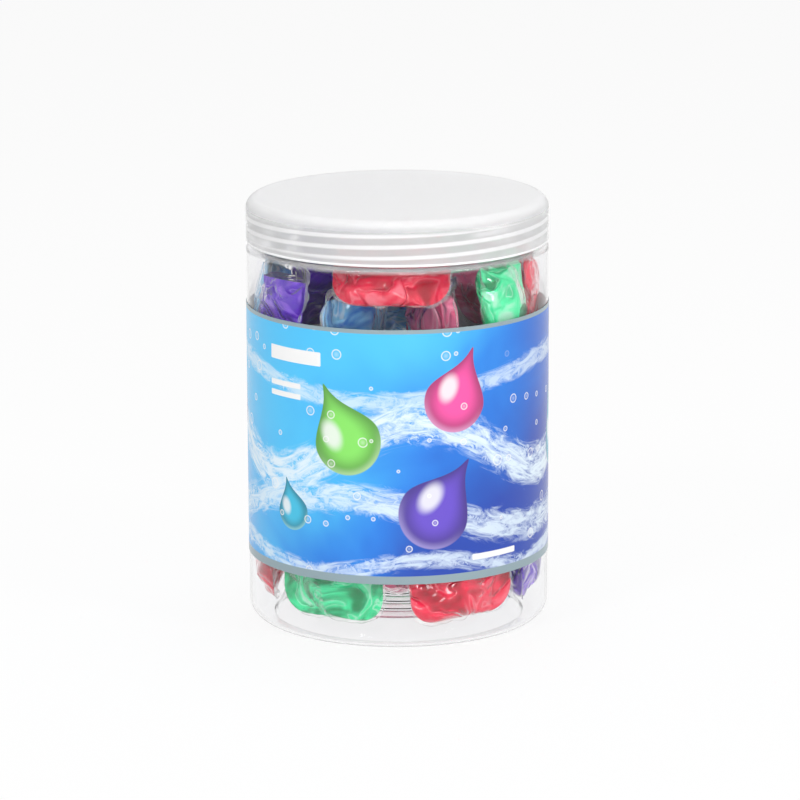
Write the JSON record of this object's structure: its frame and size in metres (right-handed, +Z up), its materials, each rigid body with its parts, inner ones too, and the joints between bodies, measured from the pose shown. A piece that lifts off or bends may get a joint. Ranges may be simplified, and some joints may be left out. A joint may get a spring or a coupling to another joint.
{
  "type": "laundry pod tub",
  "caption": "Clear round tub with a low frosted screw lid, a wrap label, a seal disc and single-colour laundry pods of water-soluble film inside.",
  "frame": {"origin": "centre of the foot ring, on the plane that the tub stands on", "axes": "+Z up along the tub's axis, -Y towards the front of the label, +X to the right as seen from the front"},
  "size_m": [0.1004, 0.1004, 0.142],
  "materials": {
    "clear_pet": "gloss",
    "label_film": "gloss",
    "foam_liner": "matte",
    "frosted_pp": "satin",
    "pod_violet": "gloss",
    "pod_blue": "gloss",
    "pod_red": "gloss",
    "pod_pink": "gloss",
    "pod_green": "gloss"
  },
  "bodies": {
    "tub": {"jar": "clear_pet", "label": "label_film", "pod_01": "pod_green", "pod_02": "pod_red", "pod_03": "pod_violet", "pod_04": "pod_pink", "pod_05": "pod_blue", "pod_06": "pod_red", "pod_07": "pod_violet", "pod_08": "pod_blue", "pod_09": "pod_green", "pod_10": "pod_red", "pod_11": "pod_pink", "pod_12": "pod_green", "pod_13": "pod_red", "pod_14": "pod_pink", "pod_15": "pod_violet", "pod_16": "pod_green", "pod_17": "pod_violet", "pod_18": "pod_blue", "pod_19": "pod_green", "pod_20": "pod_red", "pod_21": "pod_pink", "pod_22": "pod_blue", "pod_23": "pod_violet", "pod_24": "pod_blue", "pod_25": "pod_violet", "pod_26": "pod_blue", "pod_27": "pod_pink", "pod_28": "pod_pink", "pod_29": "pod_green", "pod_30": "pod_blue", "pod_31": "pod_red", "pod_32": "pod_violet", "pod_33": "pod_blue", "pod_34": "pod_green", "pod_35": "pod_pink", "pod_36": "pod_green", "pod_37": "pod_blue", "pod_38": "pod_red", "pod_39": "pod_violet", "pod_40": "pod_blue", "pod_41": "pod_violet", "pod_42": "pod_violet", "pod_43": "pod_green", "pod_44": "pod_red"},
    "seal": {"seal_disc": "foam_liner"},
    "cover": {"lid": "frosted_pp"}
  },
  "joints": [
    {"name": "lid_rise", "type": "slide", "parent": "tub", "child": "seal", "axis": [0, 0, 1], "range_m": [0, 0.0217]},
    {"name": "lid_turn", "type": "hinge", "parent": "seal", "child": "cover", "pos_m": [0, 0, 0.1344], "axis": [0, 0, 1], "range_deg": [0, 1080]}
  ],
  "couplings": [
    {"joint": "lid_rise", "follows": "lid_turn", "m_per_rad": 0.0011459}
  ]
}
